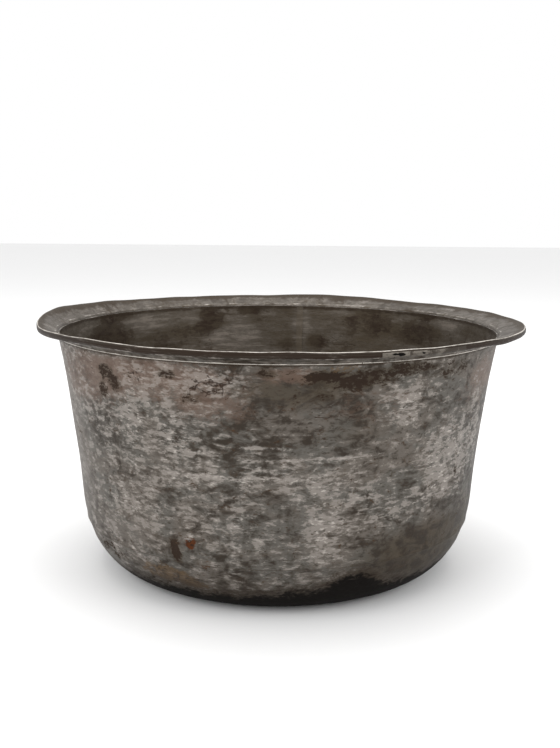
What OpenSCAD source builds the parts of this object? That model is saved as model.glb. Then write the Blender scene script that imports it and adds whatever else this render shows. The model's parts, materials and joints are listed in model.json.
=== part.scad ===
// Round flare-rimmed pan, beaten from tinned copper sheet: a dished base, a rolled
// wall, and a flared rim collar turned down over an iron wire, joined by brazed and
// soldered laps. The origin is at the middle of the underside, with +Z up.

/* [Pan] */
// Outside diameter at the lip
rim_d = 400; // [300:1:520]
// Height from the underside to the top of the lip
pan_h = 205; // [150:1:260]

/* [Wall] */
// How far the wall's outside narrows from the rim down to the base, on the radius
wall_taper = 18.5; // [4:0.5:40]
// How far the wall is drawn in halfway up, from a straight side
waist = 1.9; // [0:0.1:6]
// Wall sheet thickness
wall_t = 1.2; // [0.8:0.1:2.4]
// Direction of the wall's side seam, anticlockwise from +X
side_seam_az = 83; // [60:1:120]
// Gap between the two edges of the side seam
side_seam_gap = 0.8; // [0.4:0.1:2]
// Width of the braze that is left along the side seam
side_seam_w = 6; // [3:0.5:12]
// How far that braze stands off the sheet
side_seam_proud = 0.4; // [0.2:0.1:1]

/* [Base] */
// Height of the knee, where the wall meets the base
knee_h = 43; // [36:1:60]
// Slope of the base's outer band under the knee, from the vertical
chine_angle = 29; // [20:1:36]
// Outside radius of the bottom corner
corner_r = 39; // [20:1:44]
// Base sheet thickness
base_t = 1.6; // [1:0.1:3]
// Length of the base's upstand inside the wall
base_lap = 12; // [6:1:20]

/* [Rim collar] */
// Width of the flared rim, from the wall's outside to the lip
flare_w = 19; // [14:1:50]
// Collar sheet thickness
collar_t = 1; // [0.8:0.1:1.8]
// Rise of the flared rim, from the horizontal
flare_angle = 26; // [15:1:35]
// Inside radius of the bend from the skirt to the flare
bend_r = 2.4; // [1.5:0.1:5]
// Inside radius of the fold at the lip
lip_fold_r = 0.3; // [0.2:0.1:1]
// Length of the skirt that laps over the wall, below the bend
skirt_len = 0.6; // [0.5:0.1:12]
// Diameter of the iron wire in the lip
wire_d = 2.4; // [1.6:0.1:4]
// Direction of the collar's joint, anticlockwise from +X
rim_joint_az = -70; // [-90:0.5:-30]
// Width of the collar's joint
rim_joint_gap = 0.8; // [0.4:0.1:2]
// Slant of the collar's joint across the rim
rim_joint_slant = 35; // [0:1:50]
// Length of the solder wiped along the lip from the joint
wiped_len = 70; // [10:1:140]
// Thickness of the wiped solder
wiped_t = 0.3; // [0.1:0.1:0.6]

/* [Joints] */
// Thickness of the braze or solder between two lapped sheets
film = 0.15; // [0.1:0.05:0.4]
// Size of the small fillet that braze or solder leaves along a sheet's edge
bead = 0.9; // [0.5:0.1:2]
// Play between the wire and the sheet around it
wire_play = 0.05; // [0.02:0.01:0.2]
// Gap between the wire's two ends
wire_gap = 1; // [0.5:0.5:4]

/* [Hidden] */
$fn = 180;
WALL_STEPS = 16;
ARC_STEPS = 10;
FULL_TURN = 360;

rim_r = rim_d / 2;
neck_r = rim_r - flare_w;
knee_r = neck_r - wall_taper;

// Rim: the bend, the lip's fold and the hook under the wire are arcs about these centres.
skirt_r = neck_r + film;
bend_mid_r = bend_r + collar_t / 2;
fold_mid_r = lip_fold_r + collar_t / 2;
fold_c = [rim_r - lip_fold_r - collar_t, pan_h - lip_fold_r - collar_t];
bend_c_r = skirt_r + collar_t + bend_r;
bend_c = [bend_c_r, fold_c[1]
          - ((fold_c[0] - bend_c_r) * sin(flare_angle) + bend_mid_r - fold_mid_r) / cos(flare_angle)];
skirt_z = bend_c[1] - skirt_len;

// The wire lies against the lip's outer face and the underside of the flare.
wire_r = wire_d / 2;
wire_hold_r = wire_r + wire_play;
wire_c_r = rim_r - collar_t - wire_hold_r;
wire_c = [wire_c_r, fold_c[1]
          + (lip_fold_r - wire_hold_r - (fold_c[0] - wire_c_r) * sin(flare_angle)) / cos(flare_angle)];
hook_mid_r = wire_hold_r + collar_t / 2;
hook_end_angle = -170;
wiped_end_angle = -60;

// Wall: it runs up inside the skirt on a short straight land.
wall_top_z = bend_c[1] + bend_r / 2;
land_z = skirt_z - film;

// Base: the upstand stands inside the wall, one film clear of it.
ledge_z = knee_h - film;
upstand_z = knee_h + base_lap;
chine = tan(chine_angle);
chine_foot_r = knee_r - knee_h * chine;
corner_c = [chine_foot_r - corner_r * tan((90 - chine_angle) / 2), corner_r];
side_bead_z = upstand_z + bead;

// Outside radius of the wall at height z.
function wall_up(z) = min(1, max(0, (z - knee_h) / (land_z - knee_h)));
function wall_r(z) = let (u = wall_up(z)) knee_r + (neck_r - knee_r) * u - 4 * waist * u * (1 - u);

// Points of the curve wall_r(z), set in by a distance, from height a to height b.
function wall_line(a, b, inset) =
    [for (i = [0 : WALL_STEPS]) let (z = a + (b - a) * i / WALL_STEPS) [wall_r(z) - inset, z]];

function arc(c, r, a, b) =
    [for (i = [0 : ARC_STEPS]) let (t = a + (b - a) * i / ARC_STEPS) c + r * [cos(t), sin(t)]];

function backwards(points) = [for (i = [len(points) - 1 : -1 : 0]) points[i]];

// The wall's sheet, from the knee to the top of its land.
function wall_section() = concat(
    wall_line(knee_h, land_z, 0),
    [[neck_r, wall_top_z], [neck_r - wall_t, wall_top_z]],
    backwards(wall_line(knee_h, land_z, wall_t)));

// One face of the collar's sheet, "side" away from its middle line.
function collar_face(side) = concat(
    [[bend_c[0] - bend_mid_r - side, skirt_z]],
    arc(bend_c, bend_mid_r + side, 180, 90 + flare_angle),
    arc(fold_c, fold_mid_r + side, 90 + flare_angle, 0),
    arc(wire_c, hook_mid_r + side, 0, hook_end_angle));

// One face of the base's corner and chine, set in by a distance, up to height z.
function base_face(inset, z) = concat(
    arc(corner_c, corner_r - inset, -90, -chine_angle),
    [[knee_r - (knee_h - z) * chine - inset / cos(chine_angle), z]]);

// Turns a section about the axis, over the whole turn or centred on one direction.
module turned(points) { rotate_extrude() polygon(points); }

module turned_part(points, angle, az) {
    rotate([0, 0, az - angle / 2]) rotate_extrude(angle = angle) polygon(points);
}

function angle_of(width, r) = width / r * 180 / PI;

module base_dish() {
    color("dimgray") turned(concat(
        [[0, 0]],
        base_face(0, ledge_z),
        [[knee_r - wall_t - film, ledge_z]],
        wall_line(knee_h, upstand_z, wall_t + film),
        backwards(wall_line(knee_h, upstand_z, wall_t + film + base_t)),
        backwards(base_face(base_t, ledge_z - base_t)),
        [[0, base_t]]));
}

module wall_band() {
    gap_angle = angle_of(side_seam_gap, knee_r);
    color("gray") turned_part(wall_section(), FULL_TURN - gap_angle, side_seam_az + FULL_TURN / 2);
}

module collar_ring() { turned(concat(collar_face(collar_t / 2), backwards(collar_face(-collar_t / 2)))); }

// The slanted blade that parts the collar at its joint.
module rim_joint_blade() {
    blade = [4 * flare_w, rim_joint_gap, pan_h];
    rotate([0, 0, rim_joint_az]) translate([rim_r - flare_w / 2, 0, pan_h])
        rotate([0, 0, rim_joint_slant]) cube(blade, center = true);
}

module rim_collar() {
    color("darkgray") difference() {
        collar_ring();
        rim_joint_blade();
    }
}

module rim_wire() {
    gap_angle = angle_of(wire_gap, wire_c[0]);
    color("saddlebrown")
        rotate([0, 0, rim_joint_az + FULL_TURN / 2 + gap_angle / 2])
        rotate_extrude(angle = FULL_TURN - gap_angle)
        translate(wire_c) circle(r = wire_r);
}

module base_seam_braze() {
    color("darkgoldenrod") turned(concat(
        [[knee_r - wall_t - film, ledge_z], [knee_r - film * chine, ledge_z], [knee_r, knee_h]],
        wall_line(knee_h, upstand_z, wall_t),
        [[wall_r(side_bead_z) - wall_t, side_bead_z],
         [wall_r(upstand_z) - wall_t - film - bead, upstand_z]],
        backwards(wall_line(knee_h, upstand_z, wall_t + film))));
}

module side_seam_braze() {
    web_angle = angle_of(side_seam_gap, knee_r);
    cap_angle = angle_of(side_seam_w, knee_r);
    inside_top = [[neck_r - wall_t, wall_top_z], [neck_r - wall_t - side_seam_proud, wall_top_z]];
    inside = concat(wall_line(side_bead_z, land_z, wall_t), inside_top,
                    backwards(wall_line(side_bead_z, land_z, wall_t + side_seam_proud)));
    outside = concat(wall_line(knee_h, land_z, -side_seam_proud),
                     backwards(wall_line(knee_h, land_z, 0)));
    color("goldenrod") union() {
        turned_part(wall_section(), web_angle, side_seam_az);
        turned_part(inside, cap_angle, side_seam_az);
        turned_part(outside, cap_angle, side_seam_az);
    }
}

module collar_seam_solder() {
    sheet_r = bend_r + collar_t;
    rise = asin((wall_top_z - bend_c[1]) / sheet_r);
    color("lightgray") turned(concat(
        [[neck_r, skirt_z], [skirt_r, skirt_z]],
        arc(bend_c, sheet_r, 180, 180 - rise),
        [[neck_r, wall_top_z]]));
}

module rim_joint_solder() {
    lip_face_r = wire_hold_r + collar_t;
    wiped = concat(
        [[rim_r, fold_c[1]], [rim_r + wiped_t, fold_c[1]]],
        arc(wire_c, lip_face_r + wiped_t, 0, wiped_end_angle),
        backwards(arc(wire_c, lip_face_r, 0, wiped_end_angle)));
    wiped_angle = angle_of(wiped_len, rim_r);
    color("silver") union() {
        intersection() {
            collar_ring();
            rim_joint_blade();
        }
        turned_part(wiped, wiped_angle, rim_joint_az + wiped_angle / 2);
    }
}

base_dish();
wall_band();
rim_collar();
rim_wire();
base_seam_braze();
side_seam_braze();
collar_seam_solder();
rim_joint_solder();
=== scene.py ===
"""Beaten tinned-copper pan with a flared, wired rim.

Every sheet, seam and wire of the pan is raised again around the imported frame: the same sections as the
CAD pieces, turned round the axis, then beaten a little out of true the way hand work is. Sizes are metres,
+Z is up, and azimuths are degrees from the front (-Y), growing towards +X.
"""

import json
import math

import bmesh
import bpy
import numpy as np
from bpy.props import FloatProperty, FloatVectorProperty, IntProperty, PointerProperty
from mathutils import Matrix, Vector

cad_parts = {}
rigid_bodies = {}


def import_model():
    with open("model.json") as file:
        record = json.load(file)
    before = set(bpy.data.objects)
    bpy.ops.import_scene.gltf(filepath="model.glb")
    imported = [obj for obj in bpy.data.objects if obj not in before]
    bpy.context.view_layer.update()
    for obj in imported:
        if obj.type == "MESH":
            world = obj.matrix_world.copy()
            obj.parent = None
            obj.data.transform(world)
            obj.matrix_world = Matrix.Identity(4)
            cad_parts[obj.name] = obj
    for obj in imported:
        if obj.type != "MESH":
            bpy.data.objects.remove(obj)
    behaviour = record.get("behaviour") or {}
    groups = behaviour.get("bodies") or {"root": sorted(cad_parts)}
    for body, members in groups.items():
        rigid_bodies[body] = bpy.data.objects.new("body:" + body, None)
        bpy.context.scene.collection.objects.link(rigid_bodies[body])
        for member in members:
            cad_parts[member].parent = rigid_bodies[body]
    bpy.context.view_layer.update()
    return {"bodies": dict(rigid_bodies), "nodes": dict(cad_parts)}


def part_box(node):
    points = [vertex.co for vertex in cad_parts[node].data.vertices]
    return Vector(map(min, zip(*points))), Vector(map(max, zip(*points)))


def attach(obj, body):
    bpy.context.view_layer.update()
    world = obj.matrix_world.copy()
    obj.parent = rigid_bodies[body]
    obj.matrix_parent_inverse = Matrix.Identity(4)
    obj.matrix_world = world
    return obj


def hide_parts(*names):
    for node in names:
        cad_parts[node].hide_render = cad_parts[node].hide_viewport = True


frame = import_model()

bl_info = {
    "name": "Beaten Copper Pan",
    "version": (1, 0, 0),
    "blender": (4, 5, 0),
    "location": "View3D > Sidebar > Pan",
    "description": "Raises a tinned-copper pan with a flared, wired rim",
    "category": "Add Mesh",
}

MM = 0.001
BODY = "root"
FULL_TURN = 360.0
FRONT = -90.0  # the front, -Y, as an angle from +X
SKEW_FADE = 6.0  # how far round from the slanted joint its skew dies out, in degrees
LAMP_AIM = Vector((0, 0, 0.1))
FLOOR_SIZE = 6.0


# ---------------------------------------------------------------------------------------------
# Sizes that the frame gives


def node_reach(node):
    """Largest radius of a CAD node about the pan's axis."""
    low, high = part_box(node)
    return max(high.x, high.y, -low.x, -low.y)


RIM_R = node_reach("rim_collar")
RIM_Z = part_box("rim_collar")[1].z
SKIRT_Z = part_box("rim_collar")[0].z
NECK_R = node_reach("wall_band")
KNEE_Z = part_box("wall_band")[0].z
WALL_TOP_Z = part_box("wall_band")[1].z
KNEE_R = node_reach("base_seam_braze")
UPSTAND_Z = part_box("base_dish")[1].z
BEAD_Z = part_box("base_seam_braze")[1].z
WIRE_R = (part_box("rim_wire")[1].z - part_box("rim_wire")[0].z) / 2
WIRE_C = (node_reach("rim_wire") - WIRE_R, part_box("rim_wire")[1].z - WIRE_R)


# ---------------------------------------------------------------------------------------------
# Settings: the sizes and colours that a user would change


def length(name, description, default):
    """A length property, with its default in millimetres."""
    return FloatProperty(name=name, description=description, default=default * MM, unit="LENGTH")


def angle(name, description, default):
    """An angle property, with its default in degrees."""
    return FloatProperty(name=name, description=description, default=math.radians(default), subtype="ANGLE")


def colour(name, description, default):
    """A colour property, in linear light."""
    return FloatVectorProperty(
        name=name, description=description, default=default, subtype="COLOR", size=3, min=0, max=1
    )


class PanSheetSettings(bpy.types.PropertyGroup):
    """Thicknesses and forms of the pan's sheets."""

    wall_t: length("Wall thickness", "Thickness of the wall sheet", 1.2)
    base_t: length("Base thickness", "Thickness of the base sheet", 1.6)
    collar_t: length("Collar thickness", "Thickness of the rim's sheet", 1.0)
    film: length("Film", "Braze or solder between two lapped sheets", 0.15)
    waist: length("Waist", "How far the wall is drawn in halfway up", 1.9)
    chine: angle("Chine slope", "Slope of the base's outer band, from the vertical", 29)
    corner_r: length("Corner radius", "Outside radius of the bottom corner", 39)
    flare: angle("Flare", "Rise of the rim from the horizontal", 26)
    bend_r: length("Bend radius", "Inside radius of the collar's bend", 2.4)
    fold_r: length("Fold radius", "Inside radius of the fold at the lip", 0.3)
    edge_r: length("Edge rounding", "Wear on the sheets' cut edges", 0.25)


class PanSeamSettings(bpy.types.PropertyGroup):
    """Places and sizes of the seams."""

    side_az: angle("Side seam", "Direction of the wall's seam, from +X", 83)
    side_gap: length("Side seam gap", "Gap that the side seam's braze fills", 0.8)
    side_w: length("Side seam width", "Width of the braze along the side seam", 6)
    side_proud: length("Side seam height", "How far that braze stands off", 0.4)
    joint_az: angle("Rim joint", "Direction of the collar's joint, from +X", -70)
    joint_gap: length("Rim joint gap", "Width of the collar's joint", 0.8)
    joint_slant: angle("Rim joint slant", "Slant of the joint across the rim", 35)
    wiped_len: length("Wiped solder", "Length of the solder wiped along the lip", 70)
    wiped_t: length("Wiped thickness", "Thickness of the wiped solder", 0.3)
    wire_gap: length("Wire gap", "Gap between the wire's ends", 1)


class PanBeatingSettings(bpy.types.PropertyGroup):
    """How far hand work leaves the sheets out of true."""

    seed: IntProperty(name="Seed", description="Which set of dents and marks the pan has", default=7)
    blow: length("Hammer facets", "Depth of the planishing facets", 0.16)
    facet: length("Facet size", "Width of one planishing facet", 13)
    sway: length("Out of round", "Slow wander of the wall's radius", 0.5)
    lip_wave: length("Lip wave", "Slow rise and fall of the lip", 0.55)
    lip_lean: length("Lip lean", "How far the lip sits to the right of the wall", 2.7)
    turns: IntProperty(name="Round steps", description="Steps round the pan", default=540, min=90)


class PanColourSettings(bpy.types.PropertyGroup):
    """Colours of the worn metal."""

    dull: colour("Dull tin", "Oxidised tin in the shade of the wear", (0.036, 0.029, 0.023))
    mid: colour("Mid tin", "Oxidised tin", (0.116, 0.102, 0.088))
    grey: colour("Grey tin", "Oxidised tin that has kept its grey", (0.103, 0.096, 0.085))
    light: colour("Worn tin", "Scoured tin", (0.232, 0.208, 0.187))
    fleck: colour("Fleck", "Tin scoured bright", (0.43, 0.395, 0.36))
    # Also the painted highlights along the rim's bends.
    bright: colour("Bare edge", "Metal rubbed bright on the edges", (0.56, 0.52, 0.47))
    copper: colour("Copper", "Copper showing through the tin", (0.165, 0.108, 0.083))
    brown: colour("Brown scale", "Burnt-on scale", (0.022, 0.0135, 0.0095))
    olive: colour("Old grease", "Thin brown film", (0.054, 0.042, 0.029))
    # Also the near black of the painted shade under the base.
    soot: colour("Soot", "Hearth soot", (0.0032, 0.0025, 0.0021))
    rust: colour("Rust", "Rust stains", (0.078, 0.026, 0.010))
    ochre: colour("Ochre", "Yellow-brown smears", (0.125, 0.083, 0.047))
    braze: colour("Braze", "Old braze", (0.105, 0.083, 0.058))
    solder: colour("Solder", "Wiped tin solder", (0.17, 0.152, 0.13))


class PanStageSettings(bpy.types.PropertyGroup):
    """Camera, lamps and floor."""

    lens: FloatProperty(name="Lens", description="Focal length, in millimetres", default=48.13)
    distance: length("Distance", "From the camera to the pan's axis", 835.6)
    rise: length("Rise", "Camera height over the lip", 96.2)
    aside: length("Aside", "Camera offset to the right", 2.0)
    pitch: angle("Pitch", "Tilt down", 9.84)
    roll: angle("Roll", "Turn about the line of sight", 0.46)
    floor: colour("Floor", "Pale floor", (0.86, 0.86, 0.86))


def sheets():
    return bpy.context.scene.pan_sheets


def seams():
    return bpy.context.scene.pan_seams


def beating():
    return bpy.context.scene.pan_beating


def paints():
    return bpy.context.scene.pan_colours


# ---------------------------------------------------------------------------------------------
# Sections, as lists of (radius, height)


def arc(centre, radius, start, end, steps=8):
    """Points of an arc. Angles are in degrees."""
    turn = np.radians(np.linspace(start, end, steps + 1))
    return [(centre[0] + radius * math.cos(t), centre[1] + radius * math.sin(t)) for t in turn]


def land_z():
    """Height at which the wall's top land starts, under the collar's skirt."""
    return SKIRT_Z - sheets().film


def wall_r(z):
    """Outside radius of the wall at a height: a cone from knee to neck, drawn in at the waist."""
    u = min(1.0, max(0.0, (z - KNEE_Z) / (land_z() - KNEE_Z)))
    return KNEE_R + (NECK_R - KNEE_R) * u - 4 * sheets().waist * u * (1 - u)


def wall_line(low, high, inset, steps):
    """The wall's curve set in by a distance, from one height to another."""
    return [(wall_r(z) - inset, z) for z in np.linspace(low, high, steps + 1)]


def fold_centre():
    s = sheets()
    return (RIM_R - s.fold_r - s.collar_t, RIM_Z - s.fold_r - s.collar_t)


def bend_centre():
    s = sheets()
    fold = fold_centre()
    r = NECK_R + s.film + s.collar_t + s.bend_r
    drop = (fold[0] - r) * math.sin(s.flare) + s.bend_r - s.fold_r
    return (r, fold[1] - drop / math.cos(s.flare))


def hold_r():
    """Inside radius of the hook round the wire."""
    return RIM_R - sheets().collar_t - WIRE_C[0]


def collar_face(side):
    """One face of the collar's sheet, from the skirt over the flare to the end of the hook."""
    s = sheets()
    half = s.collar_t / 2
    flare = math.degrees(s.flare)
    bend = bend_centre()
    fold = fold_centre()
    points = [(bend[0] - s.bend_r - half - side, z) for z in np.linspace(SKIRT_Z, bend[1], 3)[:-1]]
    points += arc(bend, s.bend_r + half + side, 180, 90 + flare, 8)
    up = arc(fold, s.fold_r + half + side, 90 + flare, 0, 8)
    start, end = np.array(points[-1]), np.array(up[0])
    points += [tuple(start + (end - start) * t) for t in np.linspace(0, 1, 12)[1:-1]]
    points += up
    points += arc(WIRE_C, hold_r() + half + side, 0, -170, 16)
    return points


def soften(points, radius, sharpest=50):
    """Rounds the sharp corners of a closed outline to a small radius."""
    out = []
    n = len(points)
    for i in range(n):
        a, b, c = (np.array(points[k % n]) for k in (i - 1, i, i + 1))
        u, v = a - b, c - b
        lu, lv = np.hypot(*u), np.hypot(*v)
        if min(lu, lv) < 1e-7:
            continue
        bend = 180 - math.degrees(math.acos(np.clip(np.dot(u, v) / (lu * lv), -1, 1)))
        if bend < sharpest:
            out.append(tuple(b))
            continue
        cut = min(radius, lu * 0.45, lv * 0.45)
        p, q = b + u / lu * cut, b + v / lv * cut
        out += [tuple(p), tuple((p + 2 * b + q) / 4), tuple(q)]
    return out


# ---------------------------------------------------------------------------------------------
# Beating: one field of small moves that every piece follows, so that the laps stay closed

# The beating fades out towards the middle of the base, and the flat of the base stays on the floor.
QUIET_R = 0.1
QUIET_FADE = 0.06
QUIET_Z = 0.05

# The right side is drawn in a little halfway up: azimuth, height and depth.
DRAWN_AZ = 84
DRAWN_Z = 0.125
DRAWN_IN = 0.4 * MM

# The knee is rounded over, and the chine under it swells, both over the same height.
KNEE_DRAWN_IN = 1.2 * MM
CHINE_SWELL = 1.5 * MM
CHINE_Z = 0.027
KNEE_SPREAD = 0.010

DENT_COUNT = 26

# Where the lip has been knocked out of level: azimuth, half width in degrees, and rise in millimetres.
LIP_BENDS = (
    (-100, 13, 2.6),
    (-119, 14, 0.8),
    (-70, 14, -1.6),
    (168, 14, 1.2),
    (-165, 18, -0.5),
    (128, 26, -1.4),
    (90, 28, -1.5),
)


def smooth(x):
    x = np.clip(x, 0, 1)
    return x * x * (3 - 2 * x)


def chance(value):
    """A number from 0 to 1 that looks random but is the same for the same value."""
    return np.mod(np.sin(value) * 43758.5453, 1.0)


def facets(around, up, size, seed):
    """Planishing facets: shallow cells in staggered rows, 0 at their edges and 1 in their middles."""
    row = np.floor(up / size)
    column = around / size + chance(row * 12.9898 + seed)
    depth = chance(np.floor(column) * 78.233 + row * 37.719 + seed)
    dx = np.mod(column, 1.0) - 0.5
    dy = np.mod(up / size, 1.0) - 0.5
    dome = np.clip(1 - 4 * dx * dx, 0, 1) * np.clip(1 - 4 * dy * dy, 0, 1)
    return dome * (0.4 + 0.6 * depth)


def dents(seed):
    """Shallow dents of the wall: azimuth, height, radius and depth, the same each time."""
    rng = np.random.default_rng(seed)
    made = []
    for _ in range(DENT_COUNT):
        az = rng.uniform(-180, 180)
        at = rng.uniform(0.06, 0.17)
        size = rng.uniform(0.014, 0.03)
        made.append((az, at, size, rng.uniform(-0.45, 0.5) * MM))
    return made


def azimuth_of(x, y):
    return np.degrees(np.arctan2(x, -y))


def turn_gap(azimuth, az):
    """Angle between two azimuths, the short way round."""
    return np.abs(np.mod(azimuth - az + 180, FULL_TURN) - 180)


def bump(value, middle, spread):
    """1 in the middle, and fading out over the spread on both sides."""
    return np.exp(-(((value - middle) / spread) ** 2))


def wall_out(x, y, z):
    """How far the beaten wall and base stand out from their true radius."""
    b = beating()
    turn = np.arctan2(x, -y)
    azimuth = np.degrees(turn)
    height = smooth(z / QUIET_Z)
    sway = 0.9 * np.sin(2 * turn + 0.6) + 0.5 * np.sin(3 * turn + 2.1) + 0.3 * np.sin(5 * turn + 0.9 + z * 9)
    out = b.sway * height * sway
    out += 0.35 * MM * height * np.sin(turn * 7 + z * 38) * np.sin(z * 52 + 1.3)
    out -= DRAWN_IN * bump(azimuth, DRAWN_AZ, 26) * bump(z, DRAWN_Z, 0.026)
    out -= KNEE_DRAWN_IN * bump(z, KNEE_Z, KNEE_SPREAD)
    out += CHINE_SWELL * bump(z, CHINE_Z, KNEE_SPREAD)
    around = turn * NECK_R
    along = z + np.hypot(x, y) * smooth((0.04 - z) / 0.04)
    out -= b.blow * facets(around, along, b.facet, b.seed) * smooth((RIM_Z - 0.016 - z) / 0.006)
    out -= 0.5 * b.blow * facets(around * 1.7, along * 1.7 + 0.004, b.facet, b.seed + 3)
    for az, at, size, deep in dents(b.seed):
        d = np.hypot(np.radians(turn_gap(azimuth, az)) * NECK_R, z - at) / size
        out -= deep * smooth(1 - d)
    return out


def beat(points):
    """Moves points a little, as hand work does."""
    b = beating()
    x, y, z = points[:, 0], points[:, 1], points[:, 2]
    r = np.hypot(x, y)
    turn = np.arctan2(x, -y)
    azimuth = np.degrees(turn)
    reach = smooth((r - QUIET_R) / QUIET_FADE)
    out = wall_out(x, y, z)
    lip = smooth((r - NECK_R - 0.002) / (RIM_R - NECK_R - 0.004)) * smooth((z - SKIRT_Z) / 0.004)
    wave = 0.4 * np.sin(9 * turn + 1.7) + 0.3 * np.sin(17 * turn + 0.8) + 0.2 * np.sin(31 * turn)
    rise = b.lip_wave * lip * wave
    for az, half, lift in LIP_BENDS:
        rise += lift * MM * lip * np.exp(-((turn_gap(azimuth, az) / half) ** 2))
    out += b.lip_lean * lip * np.sin(turn)
    out += 0.3 * MM * lip * (np.sin(4 * turn + 1.1) + 0.6 * np.sin(11 * turn + 2.0))
    blows = facets(x + 0.3, y + 0.3, b.facet * 1.6, b.seed + 5)
    floor_rise = 0.35 * MM * blows * (1 - reach) * smooth(1 - z / 0.01)
    scale = 1 + out * reach / np.maximum(r, 1e-6)
    return np.column_stack([x * scale, y * scale, z + rise + floor_rise])


# ---------------------------------------------------------------------------------------------
# Marks: where the tin is worn, stained or sooted, and where light and shade are painted. Azimuth and
# half width in degrees, height and half height in metres, and how strong the mark is.

WORN_LIT_AND_SHADED = (
    (-31, 0.158, 13, 0.030, 0.75),
    (-22, 0.120, 9, 0.030, 0.75),
    (-47, 0.142, 9, 0.024, 0.6),
    (-37, 0.104, 9, 0.036, 0.35),
    (-12, 0.074, 12, 0.030, 0.6),
    (-28, 0.070, 7, 0.018, 0.4),
    (-6, 0.120, 3.5, 0.026, 0.6),
    (-20, 0.092, 9, 0.010, -0.4),
    (-13, 0.179, 9, 0.010, 0.9),
    (-24, 0.184, 14, 0.008, 0.5),
    # Broad and faint, over the whole left side: painted light.
    (-62, 0.100, 20, 0.085, 0.25),
    (6, 0.118, 12, 0.018, 0.4),
    (12, 0.098, 13, 0.020, 0.55),
    (15, 0.066, 9, 0.018, 0.8),
    (30, 0.166, 7, 0.020, 1.3),
    (27, 0.142, 8, 0.018, 0.3),
    (50, 0.170, 9, 0.020, -0.7),
    (47, 0.106, 10, 0.036, 1.2),
    (60, 0.126, 12, 0.034, 0.7),
    (34, 0.078, 10, 0.016, 0.6),
    (2, 0.150, 15, 0.026, -0.8),
    (20, 0.140, 10, 0.028, -0.8),
    (18, 0.178, 18, 0.014, -1.0),
    (24, 0.058, 6, 0.018, -0.9),
    # These two, low on the right, keep the tin dull: painted shade.
    (48, 0.046, 27, 0.030, -1.9),
    (76, 0.066, 14, 0.034, -1.1),
    (72, 0.178, 14, 0.016, -0.8),
    (0, 0.086, 7, 0.016, -0.5),
    (-44, 0.168, 5, 0.022, -0.4),
)
BROWN = (
    (-44, 0.180, 3.2, 0.006, 1.0),
    (-41, 0.172, 2.6, 0.006, 0.9),
    (-46, 0.166, 2.0, 0.008, 0.7),
    (-25, 0.184, 2.6, 0.004, 1.0),
    (-19, 0.168, 3.0, 0.005, 0.6),
    (-2, 0.187, 2.6, 0.003, 0.9),
    (10, 0.186, 4.0, 0.004, 0.9),
    (17, 0.182, 10.0, 0.008, 0.95),
    (8, 0.172, 6.0, 0.006, 0.5),
    (30, 0.188, 8.0, 0.005, 0.8),
    (44, 0.184, 10, 0.008, 0.5),
    (-26.7, 0.053, 1.5, 0.007, 1.1),
    (-25.8, 0.047, 1.5, 0.006, 1.0),
    (54, 0.101, 1.2, 0.005, 0.9),
    (-54, 0.034, 9, 0.008, 0.5),
)
COPPER = (
    (-56, 0.172, 18, 0.024, 0.8),
    (3, 0.186, 8, 0.006, 1.0),
    (-14, 0.160, 9, 0.012, 0.6),
    (-30, 0.186, 20, 0.010, 0.6),
    (-28, 0.176, 22, 0.016, 0.7),
    (22, 0.164, 14, 0.014, 0.3),
    (70, 0.176, 16, 0.018, 0.7),
    (60, 0.164, 12, 0.018, 0.4),
)
RUST = ((-22.0, 0.0585, 1.7, 0.0052, 1.25), (-18, 0.046, 2.0, 0.006, 0.35), (10, 0.016, 12, 0.004, 0.5))
OCHRE = (
    (-31, 0.030, 10, 0.007, 1.0),
    (-24, 0.024, 8, 0.004, 0.9),
    (14, 0.190, 5, 0.003, 0.6),
    (64, 0.150, 10, 0.03, 0.25),
)
CRACKED = ((-14, 0.178, 6, 0.010, 1.0), (-33, 0.182, 3, 0.006, 0.6), (14, 0.158, 6, 0.008, 0.5))
SCRATCHED = (
    (-9, 0.1115, 26, 0.0014, 1.0),
    (13, 0.1255, 15, 0.0013, 1.0),
    (-22, 0.129, 10, 0.0012, 0.8),
    (4, 0.145, 12, 0.0011, 0.8),
    (20, 0.094, 10, 0.0012, 0.7),
    (-4, 0.134, 9, 0.0010, 0.7),
)
# Painted light: broad lighter patches on the left and right sides of the body, and a small one low on the
# front left.
PAINTED_LIGHT = ((-72, 0.110, 15, 0.080, 1.0), (-44, 0.060, 14, 0.014, 0.5), (80, 0.125, 9, 0.050, 0.6))
# Dark film: the two entries low on the right are painted shade; the two near the rim are stains.
FILM_AND_SHADE = (
    (48, 0.044, 28, 0.026, 1.1),
    (80, 0.066, 12, 0.030, 0.9),
    (3, 0.176, 13, 0.016, 0.9),
    (20, 0.150, 10, 0.022, 0.4),
)
PITTED = ((22.6, 0.2026, 0.8, 0.0011, 1.2), (24.1, 0.2018, 0.8, 0.0013, 1.2), (29, 0.202, 0.5, 0.001, 1.0))
INNER = (
    (-137, 0.186, 9, 0.009, 0.9),
    (-150, 0.187, 5, 0.008, 0.7),
    (-157, 0.181, 5, 0.016, -0.8),
    (-150, 0.171, 6, 0.010, -0.5),
    (-171, 0.191, 4, 0.005, -0.9),
    (-165, 0.166, 10, 0.012, 0.9),
    (172.5, 0.175, 3, 0.030, 0.9),
    (167, 0.161, 4, 0.007, -0.8),
    (149, 0.182, 9, 0.012, -0.7),
    (160, 0.190, 6, 0.004, 0.9),
    (127, 0.194, 3, 0.003, -1.5),
    (118, 0.189, 8, 0.006, 0.9),
    (130, 0.175, 10, 0.010, -0.4),
    (-126, 0.192, 10, 0.005, -0.6),
    (-118, 0.176, 12, 0.012, -0.7),
    (20, 0.120, 30, 0.020, 0.6),
    (-40, 0.090, 24, 0.016, -0.7),
    (100, 0.100, 20, 0.020, 0.5),
)


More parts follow.
